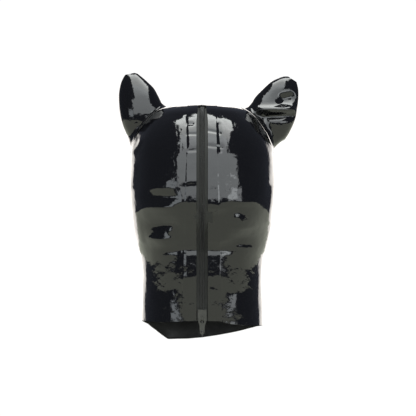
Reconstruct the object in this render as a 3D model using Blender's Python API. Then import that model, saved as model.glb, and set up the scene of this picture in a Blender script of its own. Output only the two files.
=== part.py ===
# Latex pig hood: two glued latex halves closed by a zip at the back, two cupped ears and a moulded snout.
# Metres. +Z is up, the face looks along -Y, the zip lies at +Y and the wearer's left is +X.
# The origin is inside the crown, where the top of the head bears.

import math
from collections import namedtuple

import bmesh
import bpy
import numpy as np
from mathutils import Vector
from mathutils.bvhtree import BVHTree

# Head form under the latex
HEAD_HALF_WIDTH = 0.0821
CROWN_TO_HEM = 0.2402
BACK_REACH = 0.0970
FACE_REACH = 0.0970
HEM_SAG = 0.0230

# Latex
WALL = 0.0010
GAP = 0.0003
SEAT_GAP = 0.0006
ROWS_PER_SECTION = 2
NORMAL_STEP = 0.1
COLUMNS = 20

# Openings of the face
EYE_SPACING = 0.0660
EYE_HEIGHT = -0.1080
EYE_HALF_WIDTH = 0.0150
EYE_HALF_HEIGHT = 0.0100
SNOUT_HEIGHT = -0.1420
SNOUT_HOLE_RADIUS = 0.0230

# Snout
SNOUT_REACH = 0.0480
SNOUT_RADIUS = 0.0330
SNOUT_TALLNESS = 0.90
SNOUT_WALL = 0.0020
SNOUT_SIDES = 28
NOSTRIL_SPACING = 0.0260
NOSTRIL_HALF_WIDTH = 0.0055
NOSTRIL_HALF_HEIGHT = 0.0085

# Ears
EAR_LENGTH = 0.0643
EAR_HALF_WIDTH = 0.0259
EAR_BULGE = 0.0230
EAR_PLANE = -0.0040
EAR_ROWS_PER_STATION = 2
EAR_COLUMNS = 16
EAR_ROUNDNESS = 0.85

# Zip
SLOT_HALF = 0.0064
CHAIN_HALF = 0.0030
CHAIN_PROUD = 0.0004
TAPE_HALF = 0.0120
TAPE_THICKNESS = 0.0006
TAPE_CLEARANCE = 0.0005
ZIP_TOP_SECTION = 1.0
STOP_LENGTH_SECTIONS = 0.5
STOP_THICKNESS = 0.0005

# Slider and pull tab
SLIDER_HALF_WIDTH = 0.0050
SLIDER_LENGTH = 0.0128
SLIDER_PLATE = 0.0012
BRIDGE_HALF_WIDTH = 0.0009
BRIDGE_BAR = 0.0011
BRIDGE_ABOVE_PIVOT = 0.0018
BRIDGE_SUNK = 0.0004
BRIDGE_CORNER_SHARE = 0.33
PIVOT_ABOVE_HEM = 0.0030
CROSSBAR_RADIUS = 0.0007
PULL_THICKNESS = 0.0012
PULL_LENGTH = 0.0182
PULL_TOP_HALF = 0.0042
PULL_WAIST_HALF = 0.0031
PULL_END_HALF = 0.0025
PULL_WAIST_DROP = 0.0080
PULL_EYE_RADIUS = 0.0023
PULL_HOLE_RADIUS = 0.0013
PULL_HOLE_RISE = 0.0035
PULL_END_STEPS = 8

# Sides of the oval cuts
CUT_SIDES = 24
SMALL_CUT_SIDES = 16

# Horizontal sections from the crown's crest to the back hem. level is a share of CROWN_TO_HEM, width of
# HEAD_HALF_WIDTH, back of BACK_REACH and face of FACE_REACH. corner is the superellipse's power.
Section = namedtuple("Section", "level width back face corner")
SECTIONS = [
    Section(0.000, 0.00, 0.32, 0.26, 2.0),
    Section(0.003, 0.30, 0.41, 0.35, 2.0),
    Section(0.012, 0.52, 0.50, 0.45, 2.0),
    Section(0.033, 0.69, 0.63, 0.58, 2.0),
    Section(0.071, 0.81, 0.74, 0.70, 2.1),
    Section(0.125, 0.90, 0.84, 0.80, 2.2),
    Section(0.190, 0.96, 0.915, 0.89, 2.3),
    Section(0.270, 0.99, 0.965, 0.95, 2.3),
    Section(0.365, 1.00, 0.995, 0.98, 2.3),
    Section(0.440, 0.995, 1.00, 0.99, 2.3),
    Section(0.495, 0.98, 0.975, 0.99, 2.3),
    Section(0.550, 0.96, 0.910, 0.995, 2.2),
    Section(0.605, 0.93, 0.815, 1.00, 2.2),
    Section(0.665, 0.885, 0.750, 1.00, 2.2),
    Section(0.700, 0.85, 0.748, 0.99, 2.2),
    Section(0.740, 0.83, 0.745, 0.98, 2.2),
    Section(0.800, 0.82, 0.738, 0.95, 2.2),
    Section(0.865, 0.825, 0.731, 0.86, 2.1),
    Section(0.930, 0.83, 0.726, 0.66, 2.1),
    Section(1.000, 0.835, 0.722, 0.59, 2.1),
]

# How far the hem hangs below the back hem's level, as shares of HEM_SAG. turn runs from the zip round to
# the front seam.
HemPoint = namedtuple("HemPoint", "turn left right")
HEM_LINE = [
    HemPoint(0.00, 0.04, 0.04),
    HemPoint(0.06, 0.05, 0.05),
    HemPoint(0.13, 0.08, 0.19),
    HemPoint(0.22, 0.10, 0.26),
    HemPoint(0.50, 0.00, 0.27),
    HemPoint(0.64, 0.21, 0.34),
    HemPoint(0.72, 0.53, 0.45),
    HemPoint(0.81, 0.98, 0.61),
    HemPoint(0.93, 0.96, 0.80),
    HemPoint(1.00, 0.90, 0.90),
]
HEM_SAG_STARTS = 0.86

# How far the slot over the zip is open, as a share of SLOT_HALF, by the number of the section.
SlotPoint = namedtuple("SlotPoint", "section share")
SLOT_LINE = [SlotPoint(0, 0.0), SlotPoint(1, 0.6), SlotPoint(3, 0.85), SlotPoint(4, 1.0)]

# Drawn folds of the back. Places are shares of HEAD_HALF_WIDTH and CROWN_TO_HEM, sizes of WALL.
Fold = namedtuple("Fold", "side start end spread height")
HOOD_FOLDS = [
    Fold("left", (0.90, 0.47), (0.42, 0.62), 7.0, -1.8),
    Fold("left", (0.75, 0.60), (0.45, 0.72), 7.0, 1.4),
    Fold("right", (0.90, 0.50), (0.45, 0.60), 7.0, -1.8),
    Fold("right", (0.75, 0.60), (0.45, 0.69), 6.0, 1.4),
]

# Ear outlines seen from behind, in each ear's own frame. The up columns are shares of the ear's length,
# the out columns of its half width and bulge of EAR_BULGE.
Station = namedtuple("Station", "inner_up inner_out outer_up outer_out bulge")
LEFT_EAR_STATIONS = [
    Station(0.22, -0.94, -0.28, 0.96, 0.90),
    Station(0.32, -0.89, -0.05, 1.00, 1.00),
    Station(0.45, -0.85, 0.17, 1.06, 1.00),
    Station(0.61, -0.77, 0.38, 1.02, 0.90),
    Station(0.75, -0.59, 0.58, 0.91, 0.72),
    Station(0.87, -0.41, 0.75, 0.75, 0.50),
    Station(0.95, -0.27, 0.90, 0.52, 0.28),
    Station(0.98, -0.17, 1.00, 0.26, 0.10),
]
RIGHT_EAR_STATIONS = [
    Station(0.19, -0.85, -0.19, 0.89, 0.90),
    Station(0.29, -0.87, 0.00, 1.12, 1.00),
    Station(0.40, -0.85, 0.22, 1.14, 0.98),
    Station(0.57, -0.75, 0.41, 1.07, 0.85),
    Station(0.75, -0.61, 0.58, 0.93, 0.70),
    Station(0.88, -0.41, 0.74, 0.75, 0.50),
    Station(0.95, -0.26, 0.88, 0.55, 0.28),
    Station(0.99, -0.10, 0.98, 0.32, 0.10),
]

# Folds across an ear: places are shares of its length and half width, spread and height of EAR_BULGE.
EarFold = namedtuple("EarFold", "start end spread height")
RIGHT_EAR_FOLDS = [
    EarFold((0.22, -0.50), (0.54, 0.77), 0.24, 0.18),
    EarFold((0.04, -0.30), (0.34, 0.85), 0.26, -0.18),
    EarFold((0.60, 0.25), (0.68, 0.45), 0.36, -0.24),
]

# The root is the middle of the ear's foot: out is a share of HEAD_HALF_WIDTH and down of CROWN_TO_HEM.
# lean is in degrees outward from upright. length and half_width are shares of EAR_LENGTH and EAR_HALF_WIDTH.
Ear = namedtuple("Ear", "name sign root_out root_down lean length half_width stations folds")
EARS = [
    Ear("left_ear", 1, 0.733, 0.0941, 18.4, 1.000, 1.00, LEFT_EAR_STATIONS, []),
    Ear("right_ear", -1, 0.815, 0.0895, 30.6, 0.995, 1.04, RIGHT_EAR_STATIONS, RIGHT_EAR_FOLDS),
]

# Snout's outline from its foot to the rim of its flat end: reach along the snout and radius, as shares of
# SNOUT_REACH and SNOUT_RADIUS.
SnoutRing = namedtuple("SnoutRing", "reach radius")
SNOUT_RINGS = [
    SnoutRing(0.00, 1.06),
    SnoutRing(0.16, 0.95),
    SnoutRing(0.45, 0.89),
    SnoutRing(0.75, 0.92),
    SnoutRing(0.90, 1.00),
    SnoutRing(0.97, 0.98),
    SnoutRing(1.00, 0.88),
    SnoutRing(1.00, 0.30),
]


def clear_scene():
    for old in list(bpy.data.objects):
        bpy.data.objects.remove(old, do_unlink=True)


def principled(name, color, roughness, metallic):
    material = bpy.data.materials.new(name)
    material.use_nodes = True
    shader = material.node_tree.nodes["Principled BSDF"]
    shader.inputs["Base Color"].default_value = (*color, 1.0)
    shader.inputs["Roughness"].default_value = roughness
    shader.inputs["Metallic"].default_value = metallic
    return material


def latex():
    return principled("black_latex", (0.010, 0.010, 0.011), 0.08, 0.0)


def woven_tape():
    return principled("zip_tape", (0.030, 0.031, 0.028), 0.80, 0.0)


def coil_nylon():
    return principled("zip_coil", (0.022, 0.022, 0.021), 0.45, 0.0)


def gunmetal():
    return principled("gunmetal", (0.070, 0.068, 0.066), 0.32, 1.0)


def smoothstep(value):
    held = min(1.0, max(0.0, value))
    return held * held * (3 - 2 * held)


def row_at(table, place):
    """A table's row at a fractional place, on a smooth curve through its rows."""
    last = len(table) - 1
    first = min(int(place), last - 1)
    share = place - first
    before, start, end, after = (
        np.array(table[min(max(i, 0), last)], float) for i in range(first - 1, first + 3)
    )
    return 0.5 * (
        2 * start
        + (end - before) * share
        + (2 * before - 5 * start + 4 * end - after) * share**2
        + (3 * start - before - 3 * end + after) * share**3
    )


def column_of(table, name):
    return [getattr(row, name) for row in table]


def section_at(place):
    """The horizontal section there, in metres."""
    level, width, back, face, corner = row_at(SECTIONS, place)
    return Section(
        level,
        width * HEAD_HALF_WIDTH,
        back * BACK_REACH,
        face * FACE_REACH,
        corner,
    )


def hem_drop(side, turn):
    return HEM_SAG * np.interp(turn, column_of(HEM_LINE, "turn"), column_of(HEM_LINE, side))


def height_of(section, side, turn):
    """The outer skin's height: even round the head, and following the hem near it."""
    sag = smoothstep((section.level - HEM_SAG_STARTS) / (1 - HEM_SAG_STARTS)) * hem_drop(side, turn)
    return WALL - CROWN_TO_HEM * section.level - sag


def slot_half(place):
    share = np.interp(place, column_of(SLOT_LINE, "section"), column_of(SLOT_LINE, "share"))
    return max(GAP / 2, SLOT_HALF * share)


def distance_to_stroke(point, start, end):
    along = end - start
    share = np.clip(np.dot(point - start, along) / np.dot(along, along), 0.0, 1.0)
    return np.linalg.norm(point - start - share * along)


def fold_height(side, point):
    """How far the drawn folds lift the skin of the back there."""
    if point[1] < 0:
        return 0.0
    sizes = np.array([HEAD_HALF_WIDTH, -CROWN_TO_HEM])
    flat = np.array([abs(point[0]), point[2]])
    lift = 0.0
    for fold in HOOD_FOLDS:
        if fold.side == side:
            away = distance_to_stroke(flat, np.array(fold.start) * sizes, np.array(fold.end) * sizes)
            lift += fold.height * WALL * math.exp(-((away / (fold.spread * WALL)) ** 2))
    return lift


def skin_row(side, place):
    """One row of the outer skin, from the zip's edge round to the front seam."""
    sign = 1 if side == "left" else -1
    section = section_at(place)
    turns = np.linspace(0, 1, COLUMNS + 1)
    if place == 0:
        return [(sign * GAP / 2, section.back - t * (section.back + section.face), WALL) for t in turns]
    half_power = section.corner / 2
    start = math.asin((slot_half(place) / section.width) ** half_power)
    end = math.pi - math.asin((GAP / 2 / section.width) ** half_power)
    row = []
    for turn in turns:
        angle = start + turn * (end - start)
        x = section.width * math.sin(angle) ** (1 / half_power)
        reach = section.back if angle < math.pi / 2 else -section.face
        y = reach * abs(math.cos(angle)) ** (1 / half_power)
        row.append((sign * x, y, height_of(section, side, turn)))
    return row


def grid_normals(grid, outward):
    """A unit normal for each point of the grid, on the side that outward points to there."""
    normals = np.cross(np.gradient(grid, axis=0), np.gradient(grid, axis=1))
    normals /= np.linalg.norm(normals, axis=2, keepdims=True)
    facing = np.sign(np.sum(normals * outward, axis=2, keepdims=True))
    return normals * facing


def skin_grids(side):
    """Points of a half's outer and inner skin. Points on the middle plane stay on it."""
    count = (len(SECTIONS) - 1) * ROWS_PER_SECTION
    places = [row / ROWS_PER_SECTION for row in range(count + 1)]
    outer = np.array([skin_row(side, place) for place in places])
    inside = np.array([0.0, 0.0, -CROWN_TO_HEM / 2])
    normals = grid_normals(outer, outer - inside)
    edges = [(0, slice(None)), (slice(None), 0), (slice(None), -1)]
    for edge in edges:
        normals[edge][..., 0] = 0.0
    normals /= np.linalg.norm(normals, axis=2, keepdims=True)
    lift = np.array([[fold_height(side, point) for point in row] for row in outer])
    outer = outer + normals * lift[..., None]
    return outer, outer - normals * WALL


def link(name, mesh, material):
    made = bpy.data.objects.new(name, mesh)
    mesh.materials.append(material)
    bpy.context.scene.collection.objects.link(made)
    return made


def finish_mesh(name, form, material, sharp_degrees=40):
    bmesh.ops.recalc_face_normals(form, faces=form.faces)
    mesh = bpy.data.meshes.new(name)
    form.to_mesh(mesh)
    form.free()
    mesh.shade_smooth()
    mesh.set_sharp_from_angle(angle=math.radians(sharp_degrees))
    return link(name, mesh, material)


def shell(name, outer, inner, material):
    """A closed wall between two grids of points of the same size."""
    form = bmesh.new()
    skins = [[[form.verts.new(p) for p in row] for row in grid] for grid in (outer, inner)]
    rows, columns = len(outer) - 1, len(outer[0]) - 1
    for skin in skins:
        for r in range(rows):
            for c in range(columns):
                form.faces.new((skin[r][c], skin[r][c + 1], skin[r + 1][c + 1], skin[r + 1][c]))
    first, second = skins
    for r in (0, rows):
        for c in range(columns):
            form.faces.new((first[r][c], second[r][c], second[r][c + 1], first[r][c + 1]))
    for c in (0, columns):
        for r in range(rows):
            form.faces.new((first[r][c], first[r + 1][c], second[r + 1][c], second[r][c]))
    return finish_mesh(name, form, material)


def cutter(name, half_x, half_z, length, centre, sides=CUT_SIDES):
    """An oval bar along Y that cuts an opening."""
    form = bmesh.new()
    bmesh.ops.create_cone(
        form, cap_ends=True, segments=sides, radius1=1.0, radius2=1.0, depth=1.0
    )
    for vertex in form.verts:
        x, y, z = vertex.co
        vertex.co = (x * half_x, -z * length, y * half_z)
    bmesh.ops.recalc_face_normals(form, faces=form.faces)
    mesh = bpy.data.meshes.new(name)
    form.to_mesh(mesh)
    form.free()
    made = bpy.data.objects.new(name, mesh)
    bpy.context.scene.collection.objects.link(made)
    made.location = centre
    made.hide_render = True
    made.display_type = "WIRE"
    return made


def boolean(target, other, operation):
    modifier = target.modifiers.new(other.name, "BOOLEAN")
    modifier.operation = operation
    modifier.solver = "EXACT"
    modifier.object = other


def hood_half(side, material):
    outer, inner = skin_grids(side)
    half = shell(f"hood_{side}", outer, inner, material)
    sign = 1 if side == "left" else -1
    eye = cutter(
        f"eye_cut_{side}",
        EYE_HALF_WIDTH,
        EYE_HALF_HEIGHT,
        FACE_REACH,
        (sign * EYE_SPACING / 2, -FACE_REACH, EYE_HEIGHT),
    )
    boolean(half, eye, "DIFFERENCE")
    return half


def head_tree():
    """The outer skin of both halves, to seat the ears and the snout on."""
    points, faces = [], []
    for side in ("left", "right"):
        grid = skin_grids(side)[0]
        rows, columns = grid.shape[:2]
        base = len(points)
        points.extend(Vector(p) for row in grid for p in row)
        for r in range(rows - 1):
            for c in range(columns - 1):
                corner = base + r * columns + c
                faces.append((corner, corner + 1, corner + columns + 1, corner + columns))
    return BVHTree.FromPolygons(points, faces)


def seated(tree, point, clearance):
    """The point that lies clearance off the hood's skin, nearest to this one."""
    hit, normal = tree.find_nearest(Vector(point))[:2]
    inside = Vector((0.0, 0.0, -CROWN_TO_HEM / 2))
    if normal.dot(hit - inside) < 0:
        normal.negate()
    return hit + normal * clearance


def clear_of_head(tree, point, clearance):
    hit = tree.find_nearest(Vector(point))[0]
    off = seated(tree, point, clearance)
    outward = off - hit
    if (Vector(point) - off).dot(outward) < 0:
        return off
    return Vector(point)


def ear_root(ear):
    return Vector((ear.sign * ear.root_out * HEAD_HALF_WIDTH, EAR_PLANE, -ear.root_down * CROWN_TO_HEM))


def ear_point(ear, station, angle):
    """A point of the ear's back, from its inner edge over the bulge to its outer edge."""
    share = (1 - math.cos(angle)) / 2
    sizes = np.array([ear.length * EAR_LENGTH, ear.half_width * EAR_HALF_WIDTH])
    inner = np.array([station.inner_up, station.inner_out]) * sizes
    outer = np.array([station.outer_up, station.outer_out]) * sizes
    place = inner + share * (outer - inner)
    rise = max(0.0, math.sin(angle))
    bulge = station.bulge * EAR_BULGE * rise**EAR_ROUNDNESS
    for fold in ear.folds:
        away = distance_to_stroke(place, np.array(fold.start) * sizes, np.array(fold.end) * sizes)
        bulge += fold.height * EAR_BULGE * math.exp(-((away / (fold.spread * EAR_BULGE)) ** 2)) * rise
    lean = math.radians(ear.lean)
    up, out = place
    root = ear_root(ear)
    x = root.x + ear.sign * (up * math.sin(lean) + out * math.cos(lean))
    z = root.z + up * math.cos(lean) - out * math.sin(lean)
    return (x, root.y + bulge, z)


def make_ear(ear, tree, material):
    rows = (len(ear.stations) - 1) * EAR_ROWS_PER_STATION
    angles = np.linspace(0, math.pi, EAR_COLUMNS + 1)
    outer = []
    for row in range(rows + 1):
        station = Station(*row_at(ear.stations, row / EAR_ROWS_PER_STATION))
        outer.append([ear_point(ear, station, angle) for angle in angles])
    outer = np.array(outer)
    front = np.array(ear_root(ear)) - np.array([0.0, EAR_LENGTH, 0.0])
    inner = outer - grid_normals(outer, outer - front) * WALL
    for grid in (outer, inner):
        grid[0] = [seated(tree, point, SEAT_GAP) for point in grid[0]]
        for r in range(1, len(grid)):
            grid[r] = [clear_of_head(tree, point, SEAT_GAP) for point in grid[r]]
    return shell(ear.name, outer, inner, material)


def make_snout(tree, material):
    """A waisted tube on the face with a flat end, hollow from behind."""
    angles = [2 * math.pi * k / SNOUT_SIDES for k in range(SNOUT_SIDES)]
    front = -FACE_REACH - SNOUT_REACH

    def ring_point(reach, radius, angle):
        x = radius * math.cos(angle)
        z = SNOUT_HEIGHT + radius * math.sin(angle) * SNOUT_TALLNESS
        start = Vector((math.copysign(max(abs(x), GAP), x), front, z))
        foot = tree.ray_cast(start, Vector((0, 1, 0)))[0].y - SEAT_GAP
        return (x, foot + reach * (front - foot), z)

    outer = [(ring.reach, ring.radius * SNOUT_RADIUS) for ring in SNOUT_RINGS]
    depth = 1 - SNOUT_WALL / SNOUT_REACH
    inner = [(ring.reach * depth, ring.radius * SNOUT_RADIUS - SNOUT_WALL) for ring in SNOUT_RINGS]
    form = bmesh.new()
    rings = []
    for reach, radius in outer[::-1] + inner:
        rings.append([form.verts.new(ring_point(reach, radius, angle)) for angle in angles])
    for lower, upper in zip(rings, rings[1:]):
        for k in range(SNOUT_SIDES):
            after = (k + 1) % SNOUT_SIDES
            form.faces.new((lower[k], lower[after], upper[after], upper[k]))
    form.faces.new(rings[0])
    form.faces.new(rings[-1])
    snout = finish_mesh("snout", form, material)
    for side, sign in (("left", 1), ("right", -1)):
        nostril = cutter(
            f"nostril_cut_{side}",
            NOSTRIL_HALF_WIDTH,
            NOSTRIL_HALF_HEIGHT,
            SNOUT_REACH / 2,
            (sign * NOSTRIL_SPACING / 2, front, SNOUT_HEIGHT),
        )
        boolean(snout, nostril, "DIFFERENCE")
    return snout


def back_point(place, x):
    """A point of the back's unfolded skin, at this distance from the middle plane."""
    section = section_at(place)
    y = section.back * (1 - (abs(x) / section.width) ** section.corner) ** (1 / section.corner)
    return np.array([x, y, height_of(section, "left", 0.0)])


def back_normal(place, x):
    down = back_point(min(place + NORMAL_STEP, len(SECTIONS) - 1), x) - back_point(place - NORMAL_STEP, x)
    across = back_point(place, x + GAP) - back_point(place, x - GAP)
    normal = np.cross(across, down)
    return normal / np.linalg.norm(normal)


def zip_strip(name, xs, start, end, top, bottom, material):
    """A strip along the back's middle line. top and bottom are its faces' depths below the outer skin."""
    rows = range(round(start * ROWS_PER_SECTION), round(end * ROWS_PER_SECTION) + 1)
    places = [row / ROWS_PER_SECTION for row in rows]
    skin = np.array([[back_point(place, x) for x in xs] for place in places])
    normals = np.array([[back_normal(place, x) for x in xs] for place in places])
    return shell(name, skin - normals * top, skin - normals * bottom, material)


def make_zip(tape_material, coil_material, metal):
    end = len(SECTIONS) - 1
    tape_top = WALL + TAPE_CLEARANCE
    tape_bottom = tape_top + TAPE_THICKNESS
    tape_inner = CHAIN_HALF + GAP
    tape_middle = (tape_inner + TAPE_HALF) / 2
    for side, sign in (("left", 1), ("right", -1)):
        xs = [sign * tape_inner, sign * tape_middle, sign * TAPE_HALF]
        zip_strip(f"zip_tape_{side}", xs, ZIP_TOP_SECTION, end, tape_top, tape_bottom, tape_material)
    chain_xs = [-CHAIN_HALF, 0.0, CHAIN_HALF]
    zip_strip("zip_chain", chain_xs, ZIP_TOP_SECTION, end, -CHAIN_PROUD, tape_bottom, coil_material)
    stop_bottom = -CHAIN_PROUD - GAP
    zip_strip(
        "zip_end_stop",
        chain_xs,
        ZIP_TOP_SECTION,
        ZIP_TOP_SECTION + STOP_LENGTH_SECTIONS,
        stop_bottom - STOP_THICKNESS,
        stop_bottom,
        metal,
    )


def prism(form, outline, low, high, place):
    """A closed prism: outline is a loop of pairs, and place turns (a, b, height) into a point."""
    loops = [[form.verts.new(place(a, b, h)) for a, b in outline] for h in (low, high)]
    form.faces.new(loops[0])
    form.faces.new(loops[1])
    for k in range(len(outline)):
        after = (k + 1) % len(outline)
        form.faces.new((loops[0][k], loops[0][after], loops[1][after], loops[1][k]))


def hem_height():
    return WALL - CROWN_TO_HEM - hem_drop("left", 0.0)


def slider_face():
    """Y of the slider plate's outer face."""
    back = section_at(len(SECTIONS) - 1).back
    return back + CHAIN_PROUD + GAP + SLIDER_PLATE


def pivot():
    """The pull tab's axis crosses the middle plane here."""
    y = slider_face() + GAP + CROSSBAR_RADIUS
    return Vector((0.0, y, hem_height() + PIVOT_ABOVE_HEM))


def make_slider(metal):
    """A channel that rides over the chain, with the bridge that holds the pull tab."""
    face = slider_face()
    inner = face - SLIDER_PLATE
    foot = section_at(len(SECTIONS) - 1).back - WALL - TAPE_CLEARANCE + 2 * GAP
    channel = CHAIN_HALF + GAP
    outline = [
        (-SLIDER_HALF_WIDTH, foot),
        (-channel, foot),
        (-channel, inner),
        (channel, inner),
        (channel, foot),
        (SLIDER_HALF_WIDTH, foot),
        (SLIDER_HALF_WIDTH, face),
        (-SLIDER_HALF_WIDTH, face),
    ]
    low = hem_height()
    form = bmesh.new()
    prism(form, outline, low, low + SLIDER_LENGTH, lambda a, b, h: (a, b, h))
    slider = finish_mesh("zip_slider", form, metal)

    centre = pivot()
    tunnel = CROSSBAR_RADIUS + GAP + GAP
    seat = face - BRIDGE_SUNK

    def arch(reach, below, above, foot_y):
        chamfer = reach * BRIDGE_CORNER_SHARE
        return [
            (foot_y, centre.z - below),
            (centre.y + reach - chamfer, centre.z - below),
            (centre.y + reach, centre.z - below + chamfer),
            (centre.y + reach, centre.z + above - chamfer),
            (centre.y + reach - chamfer, centre.z + above),
            (foot_y, centre.z + above),
        ]

    outside = arch(tunnel + BRIDGE_BAR, tunnel + BRIDGE_BAR, BRIDGE_ABOVE_PIVOT + BRIDGE_BAR, seat)
    inside = arch(tunnel, tunnel, BRIDGE_ABOVE_PIVOT, seat)
    form = bmesh.new()
    prism(
        form,
        outside + inside[::-1],
        -BRIDGE_HALF_WIDTH,
        BRIDGE_HALF_WIDTH,
        lambda a, b, h: (h, a, b),
    )
    bridge = finish_mesh("slider_bridge", form, metal)
    bridge.hide_render = True
    bridge.display_type = "WIRE"
    boolean(slider, bridge, "UNION")
    return slider


def make_pull(metal):
    """The tab hangs from its crossbar, with its origin on the crossbar's axis."""
    end_centre = PULL_END_HALF - PULL_LENGTH
    shoulder = -2 * PULL_EYE_RADIUS
    corner = PULL_TOP_HALF / 2
    right = [
        (PULL_TOP_HALF - corner, CROSSBAR_RADIUS),
        (PULL_TOP_HALF, CROSSBAR_RADIUS - corner),
        (PULL_TOP_HALF, shoulder),
        (PULL_WAIST_HALF, -PULL_WAIST_DROP),
        (PULL_END_HALF, end_centre),
    ]
    turns = [math.pi * k / PULL_END_STEPS for k in range(1, PULL_END_STEPS)]
    end = [(PULL_END_HALF * math.cos(t), end_centre - PULL_END_HALF * math.sin(t)) for t in turns]
    outline = right + end + [(-x, z) for x, z in right[::-1]]
    form = bmesh.new()
    half = PULL_THICKNESS / 2
    prism(form, outline, -half, half, lambda a, b, h: (a, h, b))
    pull = finish_mesh("zip_pull", form, metal)
    pull.location = pivot()
    eye_centre = pivot() + Vector((0, 0, -CROSSBAR_RADIUS - PULL_EYE_RADIUS))
    hole_centre = pivot() + Vector((0, 0, PULL_HOLE_RISE - PULL_LENGTH))
    eye = cutter("pull_eye_cut", PULL_EYE_RADIUS, PULL_EYE_RADIUS, 4 * PULL_THICKNESS, eye_centre)
    hole = cutter(
        "pull_hole_cut", PULL_HOLE_RADIUS, PULL_HOLE_RADIUS, 4 * PULL_THICKNESS, hole_centre, SMALL_CUT_SIDES
    )
    boolean(pull, eye, "DIFFERENCE")
    boolean(pull, hole, "DIFFERENCE")
    return pull


def main():
    clear_scene()
    rubber = latex()
    metal = gunmetal()
    halves = [hood_half(side, rubber) for side in ("left", "right")]
    snout_hole = cutter(
        "snout_hole_cut",
        SNOUT_HOLE_RADIUS,
        SNOUT_HOLE_RADIUS * SNOUT_TALLNESS,
        FACE_REACH,
        (0.0, -FACE_REACH, SNOUT_HEIGHT),
        SNOUT_SIDES,
    )
    for half in halves:
        boolean(half, snout_hole, "DIFFERENCE")
    tree = head_tree()
    for ear in EARS:
        make_ear(ear, tree, rubber)
    make_snout(tree, rubber)
    make_zip(woven_tape(), coil_nylon(), metal)
    make_slider(metal)
    make_pull(metal)


main()
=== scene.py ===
# The looks of the latex pig hood: glossy black skins with their folds, the coil zip, its slider and pull tab.
# Metres, in the frame of the solids: +Z up, the face along -Y, the zip at +Y, the wearer's left at +X.

import math
from collections import namedtuple

import bmesh
import bpy
import numpy as np
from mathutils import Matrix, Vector, noise
from mathutils.bvhtree import BVHTree


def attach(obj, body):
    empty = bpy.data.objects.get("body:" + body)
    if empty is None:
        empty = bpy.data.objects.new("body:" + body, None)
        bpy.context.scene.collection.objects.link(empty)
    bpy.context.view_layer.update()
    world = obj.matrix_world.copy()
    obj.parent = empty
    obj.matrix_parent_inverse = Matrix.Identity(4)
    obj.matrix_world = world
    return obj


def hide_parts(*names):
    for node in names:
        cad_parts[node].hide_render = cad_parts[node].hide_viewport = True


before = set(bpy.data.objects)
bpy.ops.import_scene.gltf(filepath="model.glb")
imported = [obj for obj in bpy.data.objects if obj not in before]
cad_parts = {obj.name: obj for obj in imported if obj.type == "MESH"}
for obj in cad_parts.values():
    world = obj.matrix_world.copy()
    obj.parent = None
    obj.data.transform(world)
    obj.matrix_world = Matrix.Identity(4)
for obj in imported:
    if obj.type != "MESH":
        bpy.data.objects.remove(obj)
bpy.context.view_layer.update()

# Head form under the latex
HEAD_HALF_WIDTH = 0.0821
CROWN_TO_HEM = 0.2402
BACK_REACH = 0.0970
FACE_REACH = 0.0970
HEM_SAG = 0.0230
WALL = 0.0010
SEAM_HALF = 0.00004
SEAT_GAP = 0.0004

# Mesh of the latex
SKIN_ROWS = 330
ZIP_SIDE_TURN = 0.15
ZIP_SIDE_COLUMNS = 48
BACK_COLUMNS = 46
FACE_COLUMNS = 34
EAR_ROWS = 120
EAR_COLUMNS = 130
HOLE_SIDES = 64
NOSTRIL_SIDES = 48
HOOD_SHARP_ANGLE = 50
EAR_SHARP_ANGLE = 60
SNOUT_SHARP_ANGLE = 40

# Openings of the face
EYE_SPACING = 0.0660
EYE_HEIGHT = -0.1080
EYE_HALF_WIDTH = 0.0150
EYE_HALF_HEIGHT = 0.0100
SNOUT_HEIGHT = -0.1420
SNOUT_HOLE_RADIUS = 0.0230

# Snout
SNOUT_REACH = 0.0480
SNOUT_RADIUS = 0.0330
SNOUT_TALLNESS = 0.90
SNOUT_WALL = 0.0020
SNOUT_SIDES = 160
NOSTRIL_SPACING = 0.0260
NOSTRIL_HALF_WIDTH = 0.0055
NOSTRIL_HALF_HEIGHT = 0.0085

# Ears
EAR_BULGE = 0.0230
EAR_PLANE = -0.0040
FLANGE_ROWS = 36
FLANGE_FROM_ROW = 18
FLANGE_REACH = 0.0090
FLANGE_WAVES = 0.35
FLANGE_EDGE = 0.00012

# Zip
SLOT_HALF = 0.0064
FACING_TOP_REACH = 0.0160
FACING_HEM_REACH = 0.0230
FACING_STEP = 0.00035
COIL_HALF = 0.0030
COIL_OVERLAP = 0.0005
COIL_PITCH = 0.0017
COIL_WIRE = 0.00034
COIL_DEPTH = 0.0009
COIL_CENTRE_DEPTH = 0.0007
TAPE_HALF = 0.0118
TAPE_DEPTH = 0.0014
TAPE_THICKNESS = 0.0006
TAPE_RIB_PITCH = 0.0008
TAPE_RIB_HEIGHT = 0.00006
ZIP_TOP_SECTION = 1.0
METAL_EDGE = 0.00025
METAL_EDGE_ANGLE = 35
TAPE_UNDER_COIL = 0.0004
TAPE_COLUMNS = 60
TAPE_ROWS = 420
TAPE_WEAVE_SHARE = 0.6
COIL_STEPS = 14
COIL_WIRE_SIDES = 6

# Camera and the photograph's frame
FRAME_PIXELS = 416
PIXEL = 0.001125
MIDDLE_PIXEL_X = 202.2
CROWN_PIXEL_Y = 107.0
CAMERA_DISTANCE = 12.0
SENSOR = 36.0
FLOOR_HEIGHT = -0.45
FLOOR_RADIUS = 2.3
FLOOR_SIDES = 96

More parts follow.
